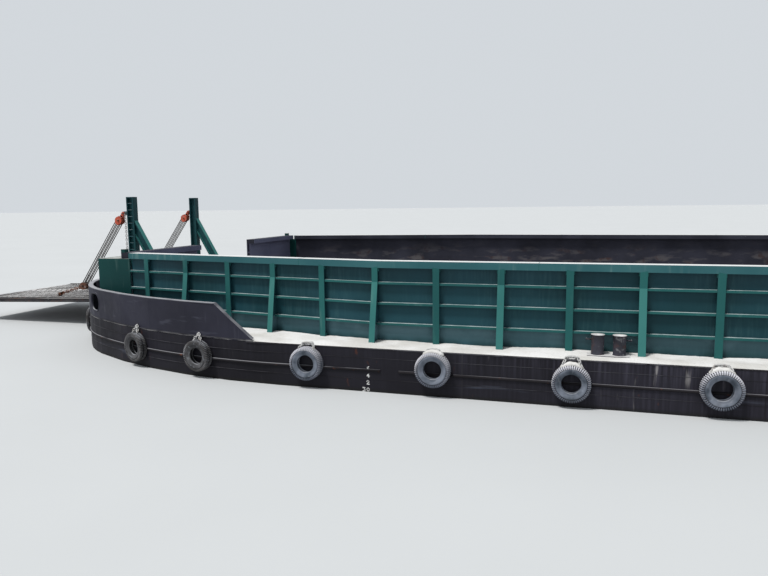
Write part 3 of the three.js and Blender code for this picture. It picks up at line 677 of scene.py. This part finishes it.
def dress_nodes():
    for node in ("hull_bow", "hull_midbody", "hull_stern"):
        dress(node, ["hull"])
    for side, hand in (("port", 1), ("starboard", -1)):
        dress(f"skeg_{side}", ["hull"])
        dress(f"bulwark_{side}", ["bulwark"])
        post = dress(f"ramp_post_{side}", ["post", "sunlit_brace"])
        for face in post.polygons:
            # Faces turned aft and up, the brace's top, take the lighter green of painted sunlight.
            face.material_index = int(face.normal.x < -0.5 and face.normal.z > 0.3)
        dress(f"wing_locker_{side}", ["locker"])
        for i in range(1, 5):
            dress_board(f"side_board_{i}_{side}", Vector((0, hand)))
        dress_board(f"side_board_bow_{side}", Vector((math.sin(BEND), hand * math.cos(BEND))))
        dress_board(f"front_wall_{side}", Vector((1, 0)), DARK_BOARD)
    dress_board("aft_wall", Vector((-1, 0)))
    dress("deck_sheathing", ["deck"])
    dress("ramp_plate", ["deck"])
    dress("ramp_grillage", ["ramp"])
    dress("ramp_hinge_lugs", ["ramp"])


# Tyre fenders
def tyre():
    """A worn truck tyre with its axle along Y, its back at y = 0 and its middle at the origin."""
    w, r, b = TYRE_WIDTH, TYRE_RADIUS, TYRE_BEAD
    crown, shoulder = r - 0.016, (r - 0.046, 0.03)
    half = [  # radius, and height as a share of the width
        (b, 0.32), (b + 0.004, 0.2), (b + 0.016, 0.15), (b + 0.024, 0.16), (b + 0.032, 0.075),
        (b + 0.06, 0.012), (b + 0.07, 0.0), shoulder, (r - 0.022, 0.1), (crown, 0.24),
        (crown + 0.002, 0.4), (crown - 0.004, 0.42), (crown - 0.004, 0.46), (crown + 0.006, 0.48),
    ]
    liner = [
        (crown - 0.018, 0.5), (crown - 0.022, 0.3), (r - 0.05, 0.17), (b + 0.06, 0.13), (b + 0.02, 0.28),
    ]
    outer = half + [(q, 1 - y) for q, y in reversed(half)]
    inner = [(q, 1 - y) for q, y in reversed(liner[1:])] + liner
    form = Form()
    form.lathe([(q, y * w) for q, y in outer + inner], 48, ACROSS, closed=True)
    wide, first = len(outer + inner), half.index(shoulder)
    # The crown between the shoulders shows only between the lugs; its groove finish is darker rubber as
    # painted shade.
    for i in range(len(form.faces)):
        if first <= i % wide < len(outer) - 1 - first:
            form.finishes[i] = 1
    for i in range(LUGS):
        for near, far, lead in ((0.0, 0.4, 0.0), (1.0, 0.6, 0.5)):
            form.add(tread_lug(near * w, far * w), turned(math.tau * (i + lead) / LUGS, "Y"))
    return form


def tread_lug(near, far):
    """One block of the tread, wrapped over the shoulder from the side wall."""
    r, half = TYRE_RADIUS, LUG_SHARE * math.tau * TYRE_RADIUS / LUGS
    bevel = near + (far - near) * 0.25
    outline = [(near, r - 0.041), (near, r - 0.016), (bevel, r), (far, r), (far, r - 0.02)]
    if near > far:
        outline.reverse()
    form = Form()
    form.finish = 2
    form.skin([[(x, y, z) for y, z in outline] for x in (-half, half)], around=True, smooth=False)
    return form


def hanger(drop, on_bow):
    """An eye and two legs of chain down to the tyre's tread. On the side, more chain lies on the deck."""
    form = Form()
    reach, spread = TYRE_RADIUS - 0.004, 0.34 if on_bow else 0.52
    for side in (-1, 1):
        eye = BOW_EYE if on_bow else Vector((side * 0.075, -0.008, 0.018))
        angle = side * (spread + rng.uniform(-0.05, 0.05))
        tread = TYRE_SEAT + TYRE_WIDTH * 0.45
        foot = Vector((reach * math.sin(angle), tread, reach * math.cos(angle) - drop))
        chain(form, along(eye, foot), 0, (foot - eye).length, LEG_CHAIN)
        if not on_bow:
            end = Vector((-side * rng.uniform(0.02, 0.07), rng.uniform(-0.035, -0.012), 0.022))
            chain(form, along(eye, end), 0, (end - eye).length, LAID_CHAIN)
    if on_bow:
        ring = [BOW_EYE + Vector((a, 0, b)) for a, b in arc(0, 0.004, 0.012, 0, math.tau * 7 / 8, 7)]
        form.tube(ring, 0.009, loop=True)
    form.finish = 1
    leg = [(-0.022, -0.03, 0.0), (-0.02, -0.026, 0.02)]
    form.tube([*leg, (0.0, -0.02, 0.03), *((-x, y, z) for x, y, z in reversed(leg))], 0.007)
    form.box((-0.04, -0.05, 0.0006), (0.04, -0.002, 0.006))
    return form


def tyre_dust(drop):
    """Stone dust heaped on top of a tyre, against the hull."""
    rows = []
    steps, spread = 24, 0.66
    for i in range(steps + 1):
        share = 2 * i / steps - 1
        angle = spread * share
        lumps = noise.noise(Vector((angle * 5, drop * 90, 2)))
        head = TYRE_RADIUS + (0.026 + 0.012 * lumps) * (1 - share ** 4)
        front = (TYRE_RADIUS - 0.004, TYRE_WIDTH * 0.8)
        section = [(TYRE_RADIUS - 0.03, 0.002), (head, 0.002), (head, 0.03), front]
        rows.append([(r * math.sin(angle), y, r * math.cos(angle) - drop) for r, y in section])
    form = Form()
    form.skin(rows, around=True)
    return form


def fenders():
    model = tyre()
    hung = [TYRE_HANG[i % len(TYRE_HANG)] for i in range(int((TYRE_FIRST - STERN) / TYRE_STEP) + 1)]
    spots = [(TYRE_FIRST - i * TYRE_STEP + shift, drop) for i, (shift, drop) in enumerate(hung)]
    groups = [("bow", [(*bow_point(angle), angle, drop) for angle, drop in BOW_TYRES])]
    for i, (fore, aft) in enumerate(zip(FENDER_ENDS, FENDER_ENDS[1:])):
        groups.append((f"{i + 1}", [(x, HALF, 0, drop) for x, drop in spots if fore > x > aft]))
    for name, places in groups:
        on_bow = name == "bow"
        tyres, chains, heaps = Form(), Form(), Form()
        for x, y, angle, drop in places:
            place = at(x, y, DECK) @ turned(-angle, "Z")
            lean = turned(rng.uniform(-0.02, 0.02), "Z") @ turned(rng.uniform(-0.03, 0), "X")
            spin = turned(rng.uniform(0, math.tau), "Y")
            tyres.add(model, place @ at(0, TYRE_SEAT, -drop) @ lean @ spin)
            chains.add(hanger(drop, on_bow), place)
            if x < TYRE_FIRST - TYRE_STEP / 2:  # the foremost is clean
                heaps.add(tyre_dust(drop), place)
        looks = ["bow_rubber", "groove", "bow_tread"] if on_bow else ["rubber", "groove", "tread"]
        if not on_bow:
            pair(f"tyre_dust_{name}", heaps, ["dust"])
        pair(f"tyres_{name}", tyres, looks, replaces=[f"fender_{name}"])
        pair(f"hangers_{name}", chains, ["chain", "bollard"])


def rub_bar():
    """A half-round bar along the side and round the bow, broken off for a short stretch near the bow."""
    form = Form()
    section = arc(0, 0, BAR_RADIUS, -math.pi / 2, math.pi / 2, 10)
    aft, fore = BAR_BREAK
    for run in (side_line(0, aft=fore), [Vector((STERN + 0.45, HALF)), Vector((aft, HALF))]):
        rows = []
        for i, p in enumerate(run):
            way = (run[min(i + 1, len(run) - 1)] - run[max(i - 1, 0)]).normalized()
            out = Vector((-way.y, way.x))
            rows.append([(*(p + out * (a + 0.0005)), DECK - BAR_DROP + b) for a, b in section])
        form.skin(rows, around=True)
    pair("rub_bar", form, ["bar"])


# Hull seams, edge bar and draught marks
def hull_seams():
    """Weld beads of the shell plating and the bar that edges the deck."""
    edge, seams = Form(), Form()
    start = math.asin((BULWARK_FOOT_X + 0.1 - FLARE_START) / FLARE_RADIUS)
    open_edge = []
    for out in (-0.002, 0.005):
        open_edge.append([Vector((STERN, HALF + out)), *(bow_point(start * i / 8, out) for i in range(9))])
    flat_bar(edge, *open_edge, DECK - 0.02, DECK - 0.002, 0.003)
    flat_bar(edge, bow_line(-0.004, start), bow_line(0.004, start), DECK + 0.014, DECK + 0.026, 0.002)
    sunk, proud, width, strake = -0.002, 0.003, 0.007, 4 * BAY
    for drop in (0.14, 0.445):
        flat_bar(seams, side_line(sunk), side_line(proud), DECK - drop - width, DECK - drop, 0.002)
    x = KNUCKLE_X - 1.5 * BAY
    while x > STERN + 0.6:
        seams.box((x - 0.004, HALF + sunk, 0.25), (x + 0.004, HALF + proud, DECK - 0.02))
        x -= strake
    pair("deck_edge", edge, ["edge"])
    pair("hull_seams", seams, ["seam"])


# Each number is one stroke through points of a unit cell
DIGITS = {
    "0": [(0.35, 0), (0, 0.3), (0, 0.7), (0.35, 1), (0.7, 0.7), (0.7, 0.3), (0.35, 0)],
    "2": [(0, 0.8), (0.15, 1), (0.6, 1), (0.7, 0.8), (0, 0), (0.7, 0)],
    "3": [(0, 1), (0.7, 1), (0.3, 0.6), (0.7, 0.35), (0.55, 0), (0, 0)],
    "4": [(0.55, 0), (0.55, 1), (0, 0.35), (0.75, 0.35)],
    "6": [(0.6, 1), (0.15, 0.7), (0, 0.2), (0.2, 0), (0.6, 0), (0.7, 0.25), (0.6, 0.5), (0.05, 0.45)],
}


def draught_marks():
    """Plain numbers about a fifth of a metre apart at full size, with a whole metre at the waterline."""
    form = Form()
    for x in MARKS_X:
        for across, row, digit in ((0.06, 0, "3"), (0, 0, "0"), (0, 1, "2"), (0, 2, "4"), (0, 3, "6")):
            mark(form, DIGITS[digit], x + across, MARK_FOOT + MARK_STEP * row)
    pair("draught_marks", form, ["marks"])


def mark(form, stroke, x, z):
    """A stroke of a number painted on the port side; read from abeam, its left is towards the bow."""
    half = 0.0055
    for (a, b), (c, d) in zip(stroke, stroke[1:]):
        p, q = (Vector((x - u * MARK_TALL, z + v * MARK_TALL)) for u, v in ((a, b), (c, d)))
        way = (q - p).normalized() * half
        off = Vector((-way.y, way.x))
        corners = [p - way + off, p - way - off, q + way - off, q + way + off]
        low = [(v.x, HALF + 0.0005, v.y) for v in corners]
        high = [(v.x, HALF + 0.002, v.y) for v in corners]
        form.skin([low, high], around=True, smooth=False)


# Boards
def hull_edge(x):
    """Half the deck's width at a place along the hull."""
    ahead = x - FLARE_START
    return HALF if ahead <= 0 else FLARE_CENTRE.y + math.sqrt(FLARE_RADIUS ** 2 - ahead ** 2)


def dust_banks():
    """Stone dust that has settled on the side walkways, banked up against the boards' feet."""
    form = Form()
    rows = []
    aft, fore = BOARD_AFT - 0.6, 15.3
    steps, wide = int((fore - aft) / 0.045), 14
    for i in range(steps + 1):
        x = aft + (fore - aft) * i / steps
        foot = RAIL_Y - PLATE_DEPTH - max(0.0, x - KNUCKLE_X) * math.tan(BEND)
        edge = hull_edge(x) - (0.008 if x < BULWARK_FOOT_X - 0.1 else 0.05)
        edge -= 0.014 * max(0.0, noise.noise(Vector((x * 4, 9, 3))))
        ends = min(1.0, (x - aft) / 0.4, (fore - x) / 0.4)
        row = []
        for k in range(wide + 1):
            t = k / wide
            y = foot + (edge - foot) * t
            bank = 0.016 * (1 - t) ** 2 * (0.6 + noise.noise(Vector((x * 1.3, y * 2, 0))))
            drift = 0.012 * (0.4 + noise.noise(Vector((x * 2.1, y * 5, 8))))
            grit = 0.007 * abs(noise.noise(Vector((x * 14, y * 14, 5))))
            round_off = min(1.0, (1 - t) * wide / 1.5)
            row.append((x, y, DECK + 0.001 + max(0.0, bank + drift + grit) * ends * round_off))
        rows.append(row)
    form.skin(rows)
    form.skin([[(x, y, DECK + 0.0005) for x, y, _ in reversed(row)] for row in rows])
    pair("walkway_dust", form, ["dust"])


def board_place(corner, turn):
    """The board's own frame: X along it, Y outwards from the rail's face, Z above the deck."""
    return at(*corner, DECK) @ turned(turn, "Z")


def stanchions(first, count, start):
    """Places of stanchions along a board, and whether each is a slanted one. first is a number in turn."""
    return [(start + i * BAY, (first + i) % 2 == 0) for i in range(count)]


def board_fittings(stations, length):
    """Gussets at the stanchions' feet and heads, and a joint in the rail every fourth bay."""
    form = Form()
    under, tall, half = BOARD_HEIGHT - RAIL_DEPTH, 0.05, 0.004
    for i, (x, slanted) in enumerate(stations):
        for side in (-1, 1):
            near, far = sorted((x + side * 0.0105, x + side * 0.06))
            form.box((near, -0.026, under - tall), (far, -0.02, under))
            if not slanted:
                foot = x + side * 0.03
                form.box((foot - half, -0.08, 0.001), (foot + half, -0.021, tall))
        joint = x + BAY * 0.45
        if i % 4 == 1 and joint < length:
            form.box((joint - half, -RAIL_WIDTH, under), (joint + half, 0.002, BOARD_HEIGHT + 0.002))
    return form


def board_details():
    form = Form()
    corner = (KNUCKLE_X - FLANGE / 2, RAIL_Y)
    side = stanchions(-SIDE_BAYS, SIDE_BAYS, FLANGE / 2 - SIDE_BAYS * BAY)
    bow = stanchions(0, BOW_STANCHIONS, FLANGE / 2)
    form.add(board_fittings(side, 0), board_place(corner, 0))
    form.add(board_fittings(bow, BOW_BOARD), board_place(corner, -BEND))
    pair("board_fittings", form, ["frame"])


def corner_bracket():
    """A bracket on the outboard end of each front wall's rail, and a strip over the joint below it."""
    form = Form()
    x, y, top = WALL_FACE, WALL_END, DECK + BOARD_HEIGHT
    form.box((x - 0.08, y - 0.11, top), (x, y, top + 0.06))
    form.box((x - 0.285, y + 0.002, DECK + 0.001), (x - 0.212, y + 0.014, top - 0.105))
    pair("corner_bracket", form, ["locker"])


# Bulwark
def bulwark_brackets():
    """Triangular brackets inside the bulwark, from the deck to under its cap."""
    form = Form()
    start = math.asin((BULWARK_TOP_X + 0.15 - FLARE_CENTRE.x) / FLARE_RADIUS)
    chock = chock_angle()
    count = 10
    for i in range(count):
        angle = start + (BOW_END - 0.04 - start) * i / (count - 1)
        if abs(angle - chock) * CORNER_RADIUS < CHOCK_WIDTH / 2 + 0.03:
            continue
        edge, foot, head = bow_point(angle, -0.03), bow_point(angle, -0.22), bow_point(angle, -0.06)
        way = Vector((math.cos(angle), -math.sin(angle))) * 0.006
        z0, z1 = DECK + 0.001, DECK + BULWARK_HEIGHT - 0.022
        outline = [(edge, z0), (foot, z0), (foot, z0 + 0.04), (head, z1), (edge, z1)]
        form.skin([[(*(p + way * s), z) for p, z in outline] for s in (-1, 1)], around=True, smooth=False)
    pair("bulwark_brackets", form, ["bulwark"])


def chock_angle():
    return math.asin((CHOCK_X - CORNER_CENTRE.x) / CORNER_RADIUS)


def chock_rings():
    """A round bar bent round the edge of each chock's opening."""
    radius, bar = CHOCK_HEIGHT / 2, 0.022
    reach = CHOCK_WIDTH / 2 - radius
    end = arc(reach, 0, radius, -math.pi / 2, math.pi / 2, 14)
    oval = end + [(-t, -u) for t, u in end]
    path = []
    for t, u in oval:
        p = bow_point(chock_angle() + t / CORNER_RADIUS, -0.015)
        path.append((p.x, p.y, DECK + CHOCK_FOOT + radius + u))
    form = Form()
    form.tube(path, bar, 10, loop=True)
    pair("chock_ring", form, ["bulwark"])


# Ramp posts, ladders and hoists
def ladders():
    """Rungs between the post's flanges on its outboard side, with a foot plate and gussets."""
    form = Form()
    form.finish = 1
    y, reach = POST_Y + POST_WIDTH / 2 - 0.012, POST_LENGTH / 2 - 0.024
    for i in range(RUNGS):
        z = DECK + POST_HEIGHT - RUNG_STEP * (i + 1)
        form.tube([(POST_X - reach, y, z), (POST_X + reach, y, z)], 0.009)
    plate = Form()
    plate.box((-0.13, -0.115, 0.0008), (0.13, 0.115, 0.016))
    for y in (-0.093, 0.093):
        for x in (-0.072, 0.072):
            plate.box((x - 0.005, y - 0.018, 0.016), (x + 0.005, y + 0.018, 0.1))
    form.add(plate, at(POST_X, POST_Y, DECK))
    pair("post_ladder", form, ["post", "rung"])


def post_chain():
    """A length of chain that hangs down the forward side of each post from an eye beside the head pin."""
    form = Form()
    x, y = POST_X + POST_LENGTH / 2 + 0.034, POST_Y + POST_WIDTH / 2 + 0.012
    top, foot = HEAD_PIN.z - 0.02, DECK + 0.3
    chain(form, along(Vector((x, y, top)), Vector((x, y, foot))), 0, top - foot, POST_CHAIN)
    form.finish = 1
    hook = [(-0.04, -0.014, 0.03), (-0.004, 0, 0.03), (0.014, 0, 0.01), (0, 0, -0.012)]
    form.tube([(x + u, y + v, top + w) for u, v, w in hook], 0.007)
    pair("post_chain", form, ["chain", "bollard"])


def shackle(form, place, reach):
    """Two cheeks with rounded eyes that straddle the lug, joined by a bridge."""
    outline = [(-0.03, reach), *arc(0, 0, 0.036, math.pi, math.tau, 8), (0.03, reach)]
    for y in (0.021, -0.036):
        cheek = place @ at(0, y + 0.015, 0) @ turned(math.pi / 2, "X")
        form.prism(outline, 0.015, cheek)
    bridge = Form()
    bridge.box((-0.03, -0.036, reach - 0.03), (0.03, 0.036, reach))
    form.add(bridge, place)
    pin = [
        (0.0, -0.055), (0.026, -0.055), (0.026, -0.038), (0.0145, -0.038),
        (0.0145, 0.038), (0.024, 0.038), (0.024, 0.05), (0.0, 0.05),
    ]
    form.lathe(pin, 12, place @ ACROSS)


def block(form, place, middle):
    """A tackle block: three cheeks, two grooved sheaves between them, a pin and four bolts."""
    half, depth = 0.1, 0.085
    side = [(-depth * 0.42, -half), (depth * 0.42, -half), *arc(0, 0, depth, -0.75, 0.75, 6)]
    outline = side + [(-u, -v) for u, v in side]
    centre = place @ at(0, 0, middle)
    for y in (0.065, 0.006, -0.053):
        form.prism(outline, 0.012, centre @ at(0, y, 0) @ turned(math.pi / 2, "X"))
    form.finish = 1
    groove = symmetrical([(0.0, 0.02), (0.078, 0.02), (0.08, 0.014), (0.062, 0.003)])
    for y in (-SHEAVE_Y, SHEAVE_Y):
        form.lathe(groove, 24, centre @ at(0, y, 0) @ ACROSS)
    pin = symmetrical([(0.0, 0.085), (0.02, 0.085), (0.02, 0.066), (0.013, 0.066)])
    form.lathe(pin, 10, centre @ ACROSS)
    form.finish = 0
    bolt = symmetrical([(0.0, 0.076), (0.009, 0.076)])
    for x in (-0.022, 0.022):
        for z in (-0.088, 0.088):
            form.lathe(bolt, 6, centre @ at(x, 0, z) @ ACROSS, smooth=False)


def chain(form, place, start, end, links_of):
    """Oval links along the place's Z, each a quarter turn from the last, their pitch trimmed to the run."""
    pitch, wire, wide = links_of
    links = max(1, round((end - start) / pitch))
    pitch = (end - start) / links
    half = pitch / 2 + wire
    bend = arc(half - wide, 0, wide, -math.pi / 2, math.pi / 2, 4)
    oval = bend + [(-u, -v) for u, v in bend]
    for i in range(links):
        middle = start + pitch * (i + 0.5)
        turn = turned(math.pi / 2 * (i % 2), "Z")
        form.tube([place @ turn @ Vector((v, 0, middle + u)) for u, v in oval], wire, 6, loop=True)


def hoists():
    head = Form()
    place = upright(HEAD_PIN, HEAD_ANGLE)
    shackle(head, place, 0.1)
    block(head, place, HEAD)
    pair("head_tackle", head, ["orange", "rusty"], "tackle_head", ["head_block"])
    foot = Form()
    place = upright(LINK_PIN, LINK_ANGLE)
    shackle(foot, place, 0.085)
    chain(foot, place, 0.07, LINK - 0.105, RAMP_CHAIN)
    block(foot, place, LINK)
    pair("foot_tackle", foot, ["rusty", "wire"], "tackle_foot", ["hoist_link"])
    falls()


def falls():
    """The wires between the blocks. The falls ride with the head tackle, their tails with the foot tackle.
    """
    lower = LINK_PIN + Vector((math.cos(LINK_ANGLE), 0, math.sin(LINK_ANGLE))) * LINK
    full = (lower - HEAD_PIN).length
    away, side = (lower - HEAD_PIN).normalized(), Vector((0, 1, 0))
    cross = away.cross(side)
    wires, tails = Form(), Form()
    for y in (-SHEAVE_Y, SHEAVE_Y):
        for reach in (-0.068, 0.068, 0.0):
            start = HEAD_PIN + away * HEAD + side * y + cross * reach
            end = HEAD_PIN + away * full + side * y + cross * reach * 0.95
            wires.tube([start, start.lerp(end, 0.5), end], 0.0095, 6)
            tails.tube([end, end.lerp(start, 0.17)], 0.0105, 6)
    for name, form, body, anchor, keep in (
        ("falls", wires, "tackle_head", HEAD_PIN, 0.15),
        ("falls_tail", tails, "tackle_foot", lower, 0.3),
    ):
        for hand, obj in zip((1, -1), pair(name, form, ["wire"], body)):
            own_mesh(obj)


# Ramp
def ramp_details():
    """Tread bars across the ramp, and its side kerbs."""
    form = Form()
    x, foot = TREAD_STEP, RAMP_TOP - 0.002
    while x < RAMP_LENGTH - 0.2:
        for y0, y1 in ((-RAMP_HALF + 0.06, -0.08), (0.08, RAMP_HALF - 0.06)):
            form.box((x - 0.011, y0, foot), (x + 0.011, y1, RAMP_TOP + 0.011))
        x += TREAD_STEP
    for side in (-1, 1):
        edge = side * (RAMP_HALF - 0.013)
        form.box((0.07, edge - 0.01, foot), (RAMP_LENGTH - TREAD_STEP, edge + 0.01, RAMP_TOP + 0.018))
    place = at(*HINGE) @ turned(DROOP, "Y")
    piece("ramp_tread", Form().add(form, place), ["ramp"], "ramp")


# Bollards: name, place along and across, and the pair's turn
BOLLARDS = [
    ("fore", 16.675, 2.3, math.pi / 2),
    ("forward", 7.32, 4.535, 0),
    ("midship", -1.775, 4.535, 0),
    ("after", -10.92, 4.535, 0),
    ("stern", -16.3, 3.8, math.pi / 2),
]
BOLLARD_RADIUS, BOLLARD_HEIGHT, BOLLARD_APART = 0.0815, 0.28, 0.2725


def bollard_pair():
    """Two capped posts on a base plate, each with a horn pointing away from the other."""
    form = Form()
    r, height = BOLLARD_RADIUS, BOLLARD_HEIGHT
    profile = [
        (0.0, 0.01), (r + 0.008, 0.01), (r + 0.002, 0.018), (r, 0.022), (r, height - 0.014),
        (r + 0.008, height - 0.011), (r + 0.0095, height - 0.006), (r + 0.007, height - 0.001),
        (0.0, height),
    ]
    horn = [(0.0, 0.0), (0.01, 0.0), (0.01, 0.07), (0.014, 0.071), (0.014, 0.079), (0.0, 0.079)]
    for side in (-1, 1):
        x = side * BOLLARD_APART / 2
        form.lathe(profile, 40, at(x, 0, 0))
        form.lathe(horn, 12, at(x + side * (r - 0.01), 0, height * 0.75) @ turned(side * math.pi / 2, "Y"))
    reach, wide = BOLLARD_APART / 2 + r + 0.05, r + 0.04
    form.box((-reach, -wide, 0.0008), (reach, wide, 0.015))
    return form


def bollards():
    model = bollard_pair()
    for name, x, y, turn in BOLLARDS:
        form = Form().add(model, at(x, y, DECK) @ turned(turn, "Z"))
        pair(f"bollards_{name}", form, ["bollard"], "hull", [f"bollard_{name}"])


# Stage
def make_stage():
    form = Form()
    form.lathe([(0.0, WATERLINE), (FLOOR_RADIUS, WATERLINE)], 64, smooth=False)
    mesh = bpy.data.meshes.new("floor")
    mesh.from_pydata(form.points, [], form.faces)
    s = Shade("floor_paint", 0.2)
    s.base(s.noise(0.4, 3), (178, 180, 181), (184, 186, 187))
    mesh.materials.append(s.finish(0.85))
    floor = show("floor", mesh)
    sun = bpy.data.lights.new("key", "SUN")
    sun.energy, sun.angle, sun.color = SUN_POWER, SUN_SPREAD, SUN_COLOUR
    key = show("key", sun)
    key.rotation_mode = "QUATERNION"
    key.rotation_quaternion = SUN_WAY.to_track_quat("-Z", "Y")
    world = bpy.data.worlds.new("studio")
    world.use_nodes = True
    back = world.node_tree.nodes["Background"]
    back.inputs["Color"].default_value = SKY_COLOUR
    back.inputs["Strength"].default_value = SKY_POWER
    bpy.context.scene.world = world
    bpy.context.scene.view_settings.view_transform = "Standard"


make_camera()
make_stage()
dress_nodes()
fenders()
rub_bar()
hull_seams()
draught_marks()
dust_banks()
board_details()
corner_bracket()
bulwark_brackets()
chock_rings()
ladders()
post_chain()
hoists()
ramp_details()
bollards()
